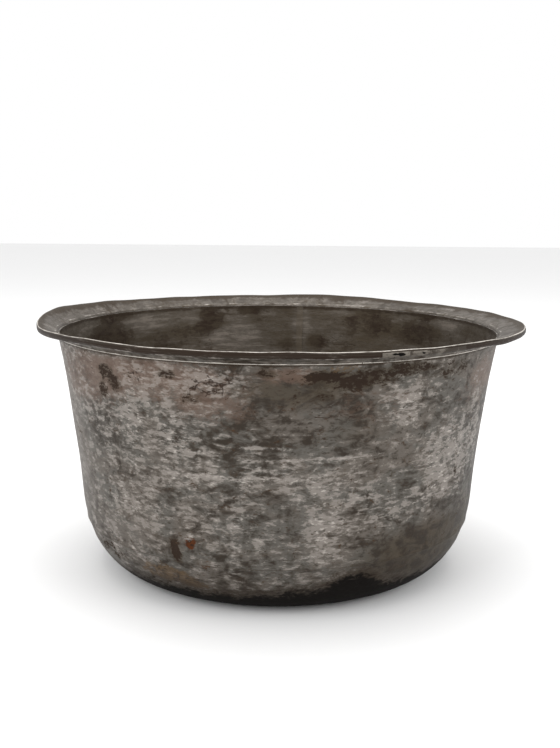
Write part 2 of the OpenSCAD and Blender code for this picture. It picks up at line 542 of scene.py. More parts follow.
def marks_behind(seed):
    """Marks for the side that faces away, scattered in the manner of the front's."""
    rng = np.random.default_rng(seed)

    def scatter(count, half_w, half_h, strength, low=0.06, high=0.188):
        return tuple(
            (
                rng.uniform(92, 268),
                rng.uniform(low, high),
                rng.uniform(*half_w),
                rng.uniform(*half_h),
                rng.uniform(*strength),
            )
            for _ in range(count)
        )

    scoured = scatter(13, (8, 16), (0.016, 0.036), (0.5, 1.1))
    spared = scatter(9, (8, 18), (0.014, 0.03), (-1.1, -0.5))
    return {
        "worn": scoured + spared,
        "brown": scatter(12, (1.5, 6), (0.004, 0.009), (0.5, 1.0), 0.15),
        "copper": scatter(6, (8, 18), (0.008, 0.02), (0.4, 0.8), 0.12),
        "rust": scatter(3, (1.0, 2.5), (0.003, 0.006), (0.4, 0.9), 0.03, 0.09),
        "ochre": scatter(4, (4, 10), (0.004, 0.01), (0.4, 0.9), 0.02, 0.05),
        "cracked": scatter(3, (4, 8), (0.006, 0.012), (0.6, 1.0), 0.15),
        "scratched": scatter(4, (8, 20), (0.0008, 0.0014), (0.5, 1.0)),
    }


def painted(azimuth, z, marks):
    """Sum of the marks at each point, each fading out from its middle."""
    total = np.zeros_like(z)
    for az, at, half_w, half_h, strength in marks:
        d = np.hypot(turn_gap(azimuth, az) / half_w, (z - at) / half_h)
        total += strength * smooth((1.35 - d) / 0.9)
    return total


SOOT_AND_SHADE_Z = 0.021


def soot_and_shade_top(azimuth):
    """Height that the soot and its painted shade reach, by azimuth."""
    lick = np.exp(-(((azimuth - 22) / 7) ** 2))
    edge = 0.004 * np.sin(np.radians(azimuth * 2 + 40)) + 0.002 * np.sin(np.radians(azimuth * 7))
    return SOOT_AND_SHADE_Z + 0.012 * lick + edge


def paint_marks(mesh, flat):
    """Stores the marks as point attributes, from where each point was before beating."""
    x, y, z = flat[:, 0], flat[:, 1], flat[:, 2]
    azimuth = azimuth_of(x, y)
    behind = marks_behind(beating().seed)
    front = {
        "worn": WORN_LIT_AND_SHADED,
        "brown": BROWN,
        "copper": COPPER,
        "rust": RUST,
        "ochre": OCHRE,
        "cracked": CRACKED,
        "scratched": SCRATCHED,
    }
    for name, marks in front.items():
        put(mesh, name, painted(azimuth, z, marks + behind[name]))
    for name, marks in {"painted_light": PAINTED_LIGHT, "film_and_shade": FILM_AND_SHADE, "pitted": PITTED, "inner": INNER}.items():
        put(mesh, name, painted(azimuth, z, marks))
    # Soot and painted shade: darker towards the bottom, where the base faces down.
    put(mesh, "soot_and_shade", smooth((soot_and_shade_top(azimuth) - z) / 0.026 + 0.5))


def put(mesh, name, values):
    attribute = mesh.attributes.get(name) or mesh.attributes.new(name, "FLOAT", "POINT")
    attribute.data.foreach_set("value", np.asarray(values, np.float32))


# ---------------------------------------------------------------------------------------------
# Turning a section into a mesh


def round_faces(rings, steps, count, poles):
    """Faces that join each copy of a section to the next, with caps on an open turn."""
    faces = []
    last = rings - 1
    for i in range(steps):
        a, b = i * rings, ((i + 1) % count) * rings
        if poles:
            faces.append((0, a + 1, b + 1))
            faces.append((last, b + last - 1, a + last - 1))
            spans = range(1, last - 1)
        else:
            spans = range(rings)
        for j in spans:
            k = (j + 1) % rings
            faces.append((a + j, a + k, b + k, b + j))
    if count > steps:
        faces.append(tuple(range(rings - 1, -1, -1)))
        faces.append(tuple((count - 1) * rings + j for j in range(rings)))
    return faces


def turned(name, section, centre=FRONT, sweep=FULL_TURN, steps=None, tags=None, skew=None, sharp=40):
    """Turns a closed section about the axis into a mesh piece, then beats it.

    centre and sweep are the middle and size of the turn in degrees from +X. tags maps a name to one value
    per section point, stored as an attribute. skew moves the two ends of an open turn, by radius, so that a
    joint can slant. A section that starts and ends on the axis closes in one point at each end.
    """
    steps = steps or beating().turns
    poles = section[0][0] < 1e-6 and section[-1][0] < 1e-6
    count = steps if sweep >= FULL_TURN - 1e-6 else steps + 1
    outline = np.array(section, float)
    rings = len(outline)
    turn = np.radians(centre - sweep / 2 + sweep * np.arange(count) / steps)
    around = np.repeat(turn[:, None], rings, 1)
    radius = np.repeat(outline[None, :, 0], count, 0)
    height = np.repeat(outline[None, :, 1], count, 0)
    if skew is not None:
        near_end = np.linspace(-1, 1, count)[:, None]
        fade = np.clip(1 - (1 - np.abs(near_end)) * sweep / 2 / SKEW_FADE, 0, 1)
        around = around + np.vectorize(skew)(radius) * fade
    flat = np.stack([radius * np.cos(around), radius * np.sin(around), height], -1).reshape(-1, 3)
    mesh = bpy.data.meshes.new(name)
    mesh.from_pydata(beat(flat).tolist(), [], round_faces(rings, steps, count, poles))
    paint_marks(mesh, flat)
    for tag, values in (tags or {}).items():
        put(mesh, tag, np.tile(np.array(values, float), count))
    put(mesh, "run", np.repeat(np.arange(count) / steps, rings))
    clean(mesh)
    mesh.shade_smooth()
    mesh.set_sharp_from_angle(angle=math.radians(sharp))
    piece = bpy.data.objects.new(name, mesh)
    bpy.context.scene.collection.objects.link(piece)
    return piece


def clean(mesh):
    """Deletes points that no face uses, such as the repeats of a pole, and turns the faces outward."""
    work = bmesh.new()
    work.from_mesh(mesh)
    bmesh.ops.delete(work, geom=[v for v in work.verts if not v.link_faces], context="VERTS")
    bmesh.ops.recalc_face_normals(work, faces=work.faces)
    work.to_mesh(mesh)
    work.free()


def join(parts):
    """Joins meshes into the first one."""
    work = bmesh.new()
    for part in parts:
        work.from_mesh(part.data)
    first = parts[0]
    work.to_mesh(first.data)
    work.free()
    for part in parts[1:]:
        bpy.data.objects.remove(part)
    return first


def settle(piece, node, material):
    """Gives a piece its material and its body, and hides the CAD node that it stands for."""
    piece.data.materials.clear()
    piece.data.materials.append(material)
    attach(piece, BODY)
    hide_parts(node)


# ---------------------------------------------------------------------------------------------
# Materials


class Shader:
    """A small helper that adds nodes to a material and joins them."""

    def __init__(self, name):
        self.material = bpy.data.materials.new(name)
        self.material.use_nodes = True
        self.tree = self.material.node_tree
        self.bsdf = self.tree.nodes["Principled BSDF"]
        self.place = self.tree.nodes.new("ShaderNodeTexCoord").outputs["Object"]

    def link(self, value, socket):
        """Joins a node's output to a socket, or sets the socket to a number or a colour."""
        if isinstance(value, bpy.types.NodeSocket):
            self.tree.links.new(value, socket)
        elif hasattr(socket.default_value, "__len__") and not hasattr(value, "__len__"):
            socket.default_value = (value,) * len(socket.default_value)
        elif hasattr(value, "__len__") and len(socket.default_value) == 4:
            socket.default_value = (*value[:3], 1.0)
        else:
            socket.default_value = value

    def math(self, operation, a, b):
        node = self.tree.nodes.new("ShaderNodeMath")
        node.operation = operation
        self.link(a, node.inputs[0])
        self.link(b, node.inputs[1])
        return node.outputs[0]

    def add(self, *values):
        total = values[0]
        for value in values[1:]:
            total = self.math("ADD", total, value)
        return total

    def times(self, a, b):
        return self.math("MULTIPLY", a, b)

    def centred(self, value, scale):
        """A value from 0 to 1, moved to lie about 0 and scaled."""
        return self.times(self.math("SUBTRACT", value, 0.5), scale)

    def step(self, value, low, high):
        """0 below low, 1 above high, smooth between."""
        node = self.tree.nodes.new("ShaderNodeMapRange")
        node.interpolation_type = "SMOOTHSTEP"
        for key, given in (("Value", value), ("From Min", low), ("From Max", high)):
            self.link(given, node.inputs[key])
        return node.outputs["Result"]

    def stored(self, name):
        node = self.tree.nodes.new("ShaderNodeAttribute")
        node.attribute_name = name
        return node.outputs["Fac"]

    def stretched(self, across, up, shift=0.0):
        """The point's place, scaled sideways and upwards."""
        node = self.tree.nodes.new("ShaderNodeMapping")
        node.inputs["Scale"].default_value = (across, across, up)
        node.inputs["Location"].default_value = (shift, shift * 0.7, shift * 1.3)
        self.tree.links.new(self.place, node.inputs["Vector"])
        return node.outputs["Vector"]

    def noise(self, across, up, detail=4.0, rough=0.55, warp=0.0, shift=0.0):
        node = self.tree.nodes.new("ShaderNodeTexNoise")
        node.inputs["Scale"].default_value = 1.0
        node.inputs["Detail"].default_value = detail
        node.inputs["Roughness"].default_value = rough
        node.inputs["Distortion"].default_value = warp
        self.tree.links.new(self.stretched(across, up, shift), node.inputs["Vector"])
        return node.outputs["Fac"]

    def cells(self, across, up, shift=0.0, feature="DISTANCE_TO_EDGE"):
        """Cracks or pits: cells whose places wander, so that their edges aren't straight."""
        wander = self.tree.nodes.new("ShaderNodeTexNoise")
        wander.inputs["Scale"].default_value = 1.3
        wander.inputs["Detail"].default_value = 4.0
        place = self.stretched(across, up, shift)
        self.tree.links.new(place, wander.inputs["Vector"])
        moved = self.tree.nodes.new("ShaderNodeVectorMath")
        moved.operation = "MULTIPLY_ADD"
        moved.inputs[1].default_value = (1.6, 1.6, 1.6)
        self.tree.links.new(wander.outputs["Color"], moved.inputs[0])
        self.tree.links.new(place, moved.inputs[2])
        node = self.tree.nodes.new("ShaderNodeTexVoronoi")
        node.feature = feature
        node.inputs["Scale"].default_value = 1.0
        self.tree.links.new(moved.outputs["Vector"], node.inputs["Vector"])
        return node.outputs["Distance"]

    def blend(self, amount, a, b, kind="FLOAT"):
        """From number a to number b, by an amount from 0 to 1."""
        node = self.tree.nodes.new("ShaderNodeMix")
        node.data_type = kind
        node.clamp_factor = True
        for key, given in (("Factor", amount), ("A", a), ("B", b)):
            self.link(given, node.inputs[key])
        return node.outputs["Result"]

    def mix(self, amount, a, b):
        """From colour a to colour b, by an amount from 0 to 1."""
        return self.blend(amount, a, b, "RGBA")

    def lay(self, base, amount, strength, top):
        """Lays a colour over the base, as strongly as the amount times the strength."""
        return self.mix(self.times(amount, strength), base, top)

    def finish(self, base, rough, metal, height, depth=0.3 * MM):
        """Joins the layers to the shader, with the height as bump."""
        self.link(base, self.bsdf.inputs["Base Color"])
        self.link(rough, self.bsdf.inputs["Roughness"])
        self.link(metal, self.bsdf.inputs["Metallic"])
        self.bsdf.inputs["Specular IOR Level"].default_value = 0.05
        bump_node = self.tree.nodes.new("ShaderNodeBump")
        bump_node.inputs["Distance"].default_value = depth
        bump_node.inputs["Strength"].default_value = 1.0
        self.link(height, bump_node.inputs["Height"])
        self.tree.links.new(bump_node.outputs["Normal"], self.bsdf.inputs["Normal"])
        return self.material


def tin_layers(s, bias=0.0):
    """Oxidised tin that is scoured light in patches of short level dashes.

    Returns the colour, how light it is, and a height for the bump.
    """
    p = paints()
    clouds = s.noise(15, 17, 3, 0.55, 0.6)
    drips = s.noise(62, 15, 3, 0.6, 0.3, 2.7)
    patches = s.noise(70, 100, 5, 0.62, 0.8, 3.1)
    coarse = s.noise(120, 285, 3, 0.56, 0.3, 7.7)
    fine = s.noise(340, 800, 4, 0.7, 0.2, 1.9)
    # The wear marks also carry painted light on the left side and painted shade low on the right.
    cover = s.add(
        0.24 + bias,
        s.times(s.stored("worn"), 0.5),
        s.times(s.stored("scratched"), 0.9),
        s.centred(clouds, 0.9),
        s.centred(drips, 1.7),
        s.centred(patches, 2.1),
    )
    grain = s.add(s.times(coarse, 0.66), s.times(fine, 0.34))
    need = s.math("SUBTRACT", 0.605, s.times(s.math("MINIMUM", cover, 1.3), 0.155))
    light = s.step(s.math("SUBTRACT", grain, need), -0.045, 0.065)
    mottle = s.add(s.times(patches, 0.45), s.times(coarse, 0.3), s.times(clouds, 0.25))
    mottle = s.add(mottle, s.times(cover, 0.06))
    tint = s.step(s.noise(24, 42, 4, 0.6, 0.6, 6.6), 0.42, 0.58)
    base = s.mix(s.step(mottle, 0.385, 0.55), p.dull, s.mix(tint, p.mid, p.grey))
    pits = s.step(s.noise(210, 520, 4, 0.65, 0.3, 5.9), 0.56, 0.66)
    base = s.lay(base, pits, 0.75, p.dull)
    base = s.lay(base, light, 0.8, p.light)
    flecks = s.step(s.noise(170, 520, 4, 0.68, 0.2, 8.8), 0.54, 0.66)
    base = s.lay(base, s.times(flecks, s.step(cover, 0.2, 0.9)), 0.75, p.fleck)
    # Painted light on the sides of the body.
    base = s.lay(base, s.step(s.stored("painted_light"), 0.0, 1.2), 0.6, s.mix(0.2, p.mid, p.light))
    # Dark film, partly painted shade low on the right.
    dark_film_tone = s.mix(s.step(patches, 0.4, 0.6), p.dull, p.olive)
    base = s.lay(base, s.step(s.stored("film_and_shade"), 0.0, 1.1), 0.8, dark_film_tone)
    height = s.add(s.times(coarse, 0.5), s.times(fine, 0.4), s.times(patches, 0.5), s.times(pits, -0.25))
    return base, light, height


def outer_tin(name):
    """The pan's outside: worn tin, stains, scale, scratches, and soot that is partly painted shade on the
    downward-facing base.
    """
    p = paints()
    s = Shader(name)
    base, light, height = tin_layers(s)
    torn = s.times(s.noise(95, 150, 5, 0.66, 0.8, 5.3), 0.6)
    ragged = s.add(torn, s.times(s.noise(300, 620, 4, 0.7, 0.2, 4.1), 0.4))

    def stain(mark, low, high, bite=3.6):
        return s.step(s.add(s.stored(mark), s.centred(ragged, bite)), low, high)

    copper = s.mix(s.times(light, 0.5), p.copper, p.light)
    base = s.lay(base, stain("copper", 0.1, 1.1), 0.5, copper)
    base = s.lay(base, stain("brown", 0.12, 0.8), 0.7, p.olive)
    brown = stain("brown", 0.56, 0.95, 6.2)
    base = s.lay(base, brown, 0.93, p.brown)
    ochre = s.mix(s.step(ragged, 0.42, 0.56), p.brown, p.ochre)
    base = s.lay(base, stain("ochre", 0.3, 0.9), 0.75, ochre)
    rust = s.mix(s.step(ragged, 0.40, 0.52), p.brown, p.rust)
    base = s.mix(stain("rust", 0.5, 0.95, 4.0), base, rust)
    crack = s.math("SUBTRACT", 1.0, s.step(s.cells(80, 130, 2.0), 0.015, 0.1))
    crack = s.times(crack, stain("cracked", 0.45, 0.75, 5.0))
    base = s.lay(base, crack, 0.85, p.brown)
    broken = s.step(s.noise(230, 500, 4, 0.7, 0, 4.4), 0.47, 0.58)
    base = s.lay(base, s.times(stain("scratched", 0.4, 0.9, 2.5), broken), 0.45, p.fleck)
    # Soot and painted shade towards the bottom: a brown band above, near black below.
    base = s.lay(base, stain("soot_and_shade", 0.0, 0.55, 1.6), 0.8, s.mix(0.6, p.olive, p.brown))
    soot = stain("soot_and_shade", 0.45, 0.85, 2.0)
    base = s.lay(base, soot, 0.97, p.soot)
    covered = s.math("MAXIMUM", brown, soot)
    rough = s.blend(covered, s.blend(light, 0.52, 0.45), 0.7)
    metal = s.times(0.6, s.math("SUBTRACT", 1.0, covered))
    height = s.add(height, s.times(light, 0.1), s.times(crack, -0.4), s.times(brown, 0.2))
    return s, base, rough, metal, height


def sheet_material(name):
    """Material of the wall and the base: worn tin outside, filmed tin inside."""
    s, base, rough, metal, height = outer_tin(name)
    inside = s.stored("inside")
    base = s.mix(inside, base, filmed_tin(s))
    rough = s.blend(inside, rough, 0.5)
    metal = s.blend(inside, metal, 0.4)
    base, rough = creases(s, base, rough)
    return s.finish(base, rough, metal, height, 0.3 * MM)


def filmed_tin(s):
    """The tinned inside, filmed brown with use and streaked level with scouring."""
    p = paints()
    film = s.noise(15, 34, 5, 0.62, 0.5, 11.0)
    streaks = s.noise(34, 260, 5, 0.68, 0.3, 13.0)
    specks = s.noise(200, 420, 4, 0.7, 0.2, 15.0)
    blots = s.noise(20, 44, 4, 0.6, 0.3, 17.0)
    runs = s.noise(52, 16, 4, 0.62, 0.3, 18.0)
    ragged = s.noise(70, 150, 5, 0.68, 0.3, 19.0)
    shown = s.times(s.stored("inner"), 0.1)
    tone = s.add(s.times(film, 0.5), s.times(streaks, 0.32), s.times(specks, 0.18), shown)
    base = s.mix(s.step(tone, 0.38, 0.62), p.olive, s.mix(0.4, p.mid, p.olive))
    scoured = s.step(s.add(s.times(tone, 0.75), s.times(streaks, 0.25)), 0.52, 0.66)
    base = s.lay(base, scoured, 0.6, s.mix(0.3, p.light, p.ochre))
    worn_off = s.add(s.times(blots, 0.25), s.times(runs, 0.25), s.times(ragged, 0.35))
    worn_off = s.add(worn_off, s.times(specks, 0.15))
    stained = s.step(s.math("SUBTRACT", worn_off, shown), 0.505, 0.575)
    grease = s.mix(s.step(ragged, 0.4, 0.6), p.brown, s.mix(0.35, p.olive, p.brown))
    return s.lay(base, stained, 0.85, grease)


def creases(s, base, rough):
    """Painted shade and dirt in the creases, and bright metal that is partly worn edges and partly painted
    highlight, from the section's own tags.
    """
    p = paints()
    ragged = s.centred(s.noise(120, 300, 4, 0.65, 0.2, 9.0), 1.6)
    # Painted shade and dirt: darker under the collar's skirt, at the knee, at the top of the inside and on
    # the collar's underside.
    shade_dirt_mask = s.step(s.add(s.stored("crease_shade_and_dirt"), ragged), 0.25, 0.8)
    base = s.lay(base, shade_dirt_mask, 0.85, s.mix(0.4, p.brown, p.olive))
    broken = s.centred(s.noise(75, 75, 5, 0.75, 0.0, 21.0), 1.6)
    # Bright metal: worn edges, and painted highlights along the rim's bends.
    rubbed_and_highlit = s.step(s.add(s.stored("rubbed_and_highlit"), broken), 0.45, 0.95)
    base = s.lay(base, rubbed_and_highlit, 0.9, p.bright)
    return base, s.blend(rubbed_and_highlit, rough, 0.35)


def collar_material():
    """The rim: grey tin on the flare, brown film at its edge, dark lip face, painted shade below, worn edges
    and painted highlights.
    """
    p = paints()
    s = Shader("rim_tin")
    base, light, height = tin_layers(s, -0.25)
    cloud = s.noise(20, 30, 5, 0.62, 0.8, 31.0)
    spots = s.noise(110, 110, 5, 0.65, 0.5, 33.0)
    grain = s.noise(320, 320, 4, 0.7, 0.2, 35.0)
    patchy = s.add(s.times(cloud, 0.45), s.times(spots, 0.35), s.times(grain, 0.2))
    dim = s.mix(0.3, p.dull, p.mid)
    pewter = s.mix(s.step(patchy, 0.40, 0.56), dim, s.mix(0.1, p.mid, p.light))
    pewter = s.lay(pewter, s.step(patchy, 0.52, 0.60), 0.7, p.light)
    streaked = s.noise(60, 700, 4, 0.66, 0.2, 37.0)
    pewter = s.lay(pewter, s.step(streaked, 0.5, 0.62), 0.45, p.olive)
    pewter = s.lay(pewter, s.step(spots, 0.55, 0.64), 0.8, p.olive)
    base = s.mix(s.stored("flare_top"), base, pewter)
    broken = s.centred(s.noise(45, 45, 5, 0.68, 0.6, 39.0), 3.2)
    edge_film = s.step(s.add(s.stored("outer_edge"), broken), 0.08, 0.6)
    base = s.lay(base, edge_film, 0.85, s.mix(0.6, p.brown, p.olive))
    scored = s.noise(12, 1500, 3, 0.6, 0.0, 41.0)
    worn_face = s.noise(60, 240, 5, 0.68, 0.3, 43.0)
    dark = s.mix(s.step(scored, 0.42, 0.72), s.mix(0.8, p.dull, p.brown), p.dull)
    dark = s.lay(dark, s.step(worn_face, 0.54, 0.66), 0.4, p.mid)
    base = s.mix(s.stored("lip_face"), base, dark)
    base, rough = creases(s, base, s.blend(light, 0.52, 0.45))
    height = s.add(height, s.times(scored, 0.25))
    return s.finish(base, rough, s.blend(edge_film, 0.5, 0.1), height, 0.25 * MM)


def solder_material():
    """Dull tin solder, wiped along the rim and pitted; it thins out to dark metal at its end."""
    p = paints()
    s = Shader("wiped_solder")
    wipe = s.noise(40, 380, 5, 0.65, 0.3, 51.0)
    blots = s.noise(130, 170, 5, 0.66, 0.6, 53.0)
    pits = s.step(s.cells(210, 330, 3.0, "F1"), 0.1, 0.22)
    base = s.mix(s.step(wipe, 0.38, 0.66), s.mix(0.5, p.solder, p.dull), p.solder)
    base = s.lay(base, s.step(blots, 0.52, 0.62), 0.7, p.dull)
    thin = s.step(s.add(s.stored("run"), s.centred(blots, 2.5)), 0.35, 0.75)
    base = s.lay(base, thin, 0.95, s.mix(0.1, p.dull, p.mid))
    holes = s.step(s.add(s.stored("pitted"), s.centred(blots, 2.0)), 0.4, 0.8)
    holes = s.math("MAXIMUM", holes, s.times(s.math("SUBTRACT", 1.0, pits), 0.6))
    base = s.mix(holes, base, p.soot)
    height = s.add(s.times(wipe, 0.5), s.times(pits, 0.5))
    return s.finish(base, s.blend(wipe, 0.4, 0.55), 0.55, height, 0.2 * MM)


def braze_material():
    """Old braze under the same brown film as the sheets."""
    p = paints()
    s = Shader("old_braze")
    grain = s.noise(120, 90, 5, 0.65, 0.5, 61.0)
    film = s.noise(30, 60, 4, 0.6, 0.8, 63.0)
    base = s.mix(s.step(grain, 0.35, 0.68), s.mix(0.5, p.braze, p.olive), p.braze)
    base = s.mix(s.blend(s.step(film, 0.45, 0.62), 0.6, 0.9), base, filmed_tin(s))
    return s.finish(base, s.blend(grain, 0.45, 0.6), 0.5, grain, 0.25 * MM)


def wire_material():
    """Rusted iron."""
    p = paints()
    s = Shader("rusted_wire")
    flakes = s.noise(320, 320, 5, 0.7, 0.3, 71.0)
    base = s.mix(s.step(flakes, 0.42, 0.6), p.brown, p.rust)
    return s.finish(base, s.blend(flakes, 0.62, 0.8), 0.3, flakes, 0.3 * MM)


def floor_material():
    """A pale matt floor that stays clean and white to the eye."""
    s = Shader("pale_floor")
    wash = s.noise(3, 3, 3, 0.5, 0.0, 81.0)
    c = bpy.context.scene.pan_stage.floor
    base = s.mix(s.times(wash, 0.15), tuple(c), tuple(v * 0.97 for v in c))
    s.link(base, s.bsdf.inputs["Base Color"])
    s.bsdf.inputs["Roughness"].default_value = 0.85
    return s.material


# ---------------------------------------------------------------------------------------------
# Operators: one for each piece, and one for the stage


class PanOperator:
    """What all the pan's operators share."""

    bl_options = {"REGISTER", "UNDO"}


class PAN_OT_stage(PanOperator, bpy.types.Operator):
    """Sets the camera, the lamps and the floor"""

    bl_idname = "pan.stage"
    bl_label = "Stage"

    def execute(self, context):
        stage = context.scene.pan_stage
        self.camera(context, stage)
        self.floor(context)
        self.lamps(context)
        self.surroundings(context)
        return {"FINISHED"}

    def camera(self, context, stage):
        data = bpy.data.cameras.new("camera")
        data.lens = stage.lens
        data.sensor_width = 36.0
        data.clip_end = 50
        camera = bpy.data.objects.new("camera", data)
        context.scene.collection.objects.link(camera)
        place = Matrix.Translation((stage.aside, -stage.distance, RIM_Z + stage.rise))
        aim = Matrix.Rotation(math.radians(90) - stage.pitch, 4, "X") @ Matrix.Rotation(stage.roll, 4, "Z")
        camera.matrix_world = place @ aim
        context.scene.camera = camera

    def floor(self, context):
        mesh = bpy.data.meshes.new("floor")
        work = bmesh.new()
        bmesh.ops.create_grid(work, x_segments=12, y_segments=12, size=FLOOR_SIZE)
        work.to_mesh(mesh)
        work.free()
        floor = bpy.data.objects.new("floor", mesh)
        floor.data.materials.append(floor_material())
        context.scene.collection.objects.link(floor)

    def lamps(self, context):
        for name, place, size, power in (
            ("left_softbox", (-1.3, -1.1, 1.1), 1.3, 15),
            ("right_softbox", (1.5, -0.9, 1.0), 1.1, 11),
            ("top_softbox", (0.0, 0.3, 1.9), 1.8, 22),
        ):
            data = bpy.data.lights.new(name, "AREA")
            data.shape = "SQUARE"
            data.size = size
            data.energy = power
            lamp = bpy.data.objects.new(name, data)
            lamp.location = place
            lamp.rotation_euler = (LAMP_AIM - Vector(place)).to_track_quat("-Z", "Y").to_euler()
            context.scene.collection.objects.link(lamp)

    def surroundings(self, context):
        world = bpy.data.worlds.new("studio")
        world.use_nodes = True
        background = world.node_tree.nodes["Background"]
        background.inputs["Color"].default_value = (1, 1, 1, 1)
        background.inputs["Strength"].default_value = 1.0
        context.scene.world = world
        context.scene.view_settings.view_transform = "Standard"


class PAN_OT_base_dish(PanOperator, bpy.types.Operator):
    """Raises the dished base with its chine and upstand"""

    bl_idname = "pan.base_dish"
    bl_label = "Base dish"

    def execute(self, context):
        s = sheets()
        ledge = KNEE_Z - s.film
        slope = math.tan(s.chine)
        foot = KNEE_R - KNEE_Z * slope
        tilt = math.degrees(s.chine)
        corner = (foot - s.corner_r * math.tan(math.radians(90 - tilt) / 2), s.corner_r)

        def face(inset, top, steps):
            points = [(r, inset) for r in np.linspace(0, corner[0], 30)[:-1]]
            points += arc(corner, s.corner_r - inset, -90, -tilt, 16)
            end = (KNEE_R - (KNEE_Z - top) * slope - inset / math.cos(s.chine), top)
            start = np.array(points[-1])
            points += [tuple(start + (np.array(end) - start) * t) for t in np.linspace(0, 1, steps)[1:]]
            return points

        outside = face(0, ledge, 12)
        ledge_in = (KNEE_R - s.wall_t - s.film, ledge)
        up = wall_line(KNEE_Z, UPSTAND_Z, s.wall_t + s.film, 5)
        down = wall_line(KNEE_Z, UPSTAND_Z, s.wall_t + s.film + s.base_t, 5)[::-1]
        inside = face(s.base_t, ledge - s.base_t, 12)[::-1]
        section = outside + [ledge_in] + up + down + inside
        inner = [0.0] * (len(outside) + 1 + len(up)) + [1.0] * (len(down) + len(inside))
        piece = turned("base_dish_beaten", section, tags={"inside": inner}, sharp=60)
        settle(piece, "base_dish", sheet_material("sooted_and_shaded_base"))
        return {"FINISHED"}


class PAN_OT_wall_band(PanOperator, bpy.types.Operator):
    """Rolls the tapered wall, open at its side seam"""

    bl_idname = "pan.wall_band"
    bl_label = "Wall"

    def execute(self, context):
        s = sheets()
        outside = wall_line(KNEE_Z, land_z(), 0, 76) + [(NECK_R, WALL_TOP_Z)]
        inside = [(NECK_R - s.wall_t, WALL_TOP_Z)] + wall_line(KNEE_Z, land_z(), s.wall_t, 60)[::-1]
        section = soften(outside + inside, s.edge_r)
        middle = [wall_r(z) - s.wall_t / 2 for _, z in section]
        inner = [1.0 if r < m else 0.0 for (r, _), m in zip(section, middle)]
        # Painted shade and dirt under the collar's skirt, a little less inside, and along the knee.
        crease_shade_and_dirt = [smooth(1 - (SKIRT_Z - z) / 0.0032) * (1 - 0.3 * i) for (_, z), i in zip(section, inner)]
        crease_shade_and_dirt = [g + smooth(1 - abs(z - KNEE_Z) / 0.0012) * 0.3 for g, (_, z) in zip(crease_shade_and_dirt, section)]
        rubbed_and_highlit = [smooth((z - WALL_TOP_Z) / 0.0004 + 1) * 0.55 for _, z in section]
        gap = math.degrees(seams().side_gap / KNEE_R)
        piece = turned(
            "wall_band_beaten",
            section,
            centre=math.degrees(seams().side_az) + FULL_TURN / 2,
            sweep=FULL_TURN - gap,
            tags={"inside": inner, "crease_shade_and_dirt": crease_shade_and_dirt, "rubbed_and_highlit": rubbed_and_highlit},
        )
        settle(piece, "wall_band", sheet_material("worn_tin_wall"))
        return {"FINISHED"}


def joint_skew(radius):
    """How far the slanted joint turns with radius, in radians."""
    middle = (RIM_R + NECK_R) / 2
    return (radius - middle) * math.tan(seams().joint_slant) / middle


def collar_tags(section, top):
    """Where each point of the collar's section lies: on the flare, the lip's face, an edge or a crease."""
    s = sheets()
    fold = fold_centre()
    tags = {"flare_top": [], "lip_face": [], "outer_edge": [], "crease_shade_and_dirt": [], "rubbed_and_highlit": []}
    for r, z in section:
        above = float((r, z) in top and r <= fold[0] + s.fold_r + s.collar_t / 2 and z > SKIRT_Z + 2 * MM)
        if z < fold[1] - s.fold_r and r > fold[0] - 2 * WIRE_R:
            above = 0.0
        lip = smooth((r - fold[0] - s.fold_r) / (0.6 * s.collar_t))
        face = lip * smooth((RIM_Z - 0.3 * s.collar_t - z) / (0.5 * s.collar_t))
        if r > RIM_R - 4.5 * WIRE_R and z < WIRE_C[1]:
            face = 1.0
        # The crest is partly worn bright and partly painted highlight; the bands at the hem, round the roll
        # and near the neck bend are painted highlights.
        crest = smooth(1 - (RIM_Z - z) / (0.75 * s.collar_t))
        crest *= smooth((r - fold[0] + 0.1 * MM) / (0.4 * MM))
        hem = smooth(1 - (z - SKIRT_Z) / (1.3 * MM))
        roll = 0.62 * smooth(((WIRE_C[1] - z) / hold_r() - 0.9) / 0.5)
        roll *= smooth((r - WIRE_C[0]) / MM + 0.5)
        neck = 0.62 * above * bump(r, NECK_R + 2.4 * MM, 1.2 * MM)
        tags["flare_top"].append(above)
        tags["lip_face"].append(face)
        tags["outer_edge"].append(above * smooth((r - RIM_R + 11 * MM) / (10 * MM)))
        # Painted shade on the collar's underside and skirt, away from the flare's top and the lip's face.
        tags["crease_shade_and_dirt"].append(0.35 * (1 - above) * (1 - face))
        tags["rubbed_and_highlit"].append(max(crest, hem, roll, neck))
    return tags


class PAN_OT_rim_collar(PanOperator, bpy.types.Operator):
    """Flares the rim collar and turns its lip down over the wire"""

    bl_idname = "pan.rim_collar"
    bl_label = "Rim collar"

    def execute(self, context):
        s = sheets()
        top = collar_face(s.collar_t / 2)
        section = soften(top + collar_face(-s.collar_t / 2)[::-1], s.edge_r)
        gap = math.degrees(seams().joint_gap / RIM_R)
        piece = turned(
            "rim_collar_flared",
            section,
            centre=math.degrees(seams().joint_az) + FULL_TURN / 2,
            sweep=FULL_TURN - gap,
            steps=720,
            tags=collar_tags(section, set(top)),
            skew=joint_skew,
            sharp=60,
        )
        settle(piece, "rim_collar", collar_material())
        return {"FINISHED"}


class PAN_OT_rim_wire(PanOperator, bpy.types.Operator):
    """Bends the iron wire that the lip is turned over"""

    bl_idname = "pan.rim_wire"
    bl_label = "Rim wire"

    def execute(self, context):
        gap = math.degrees(seams().wire_gap / WIRE_C[0])
        piece = turned(
            "rim_wire_bent",
            arc(WIRE_C, WIRE_R, 0, FULL_TURN, 16)[:-1],
            centre=math.degrees(seams().joint_az) + FULL_TURN / 2 + gap,
            sweep=FULL_TURN - gap,
            steps=360,
        )
        settle(piece, "rim_wire", wire_material())
        return {"FINISHED"}


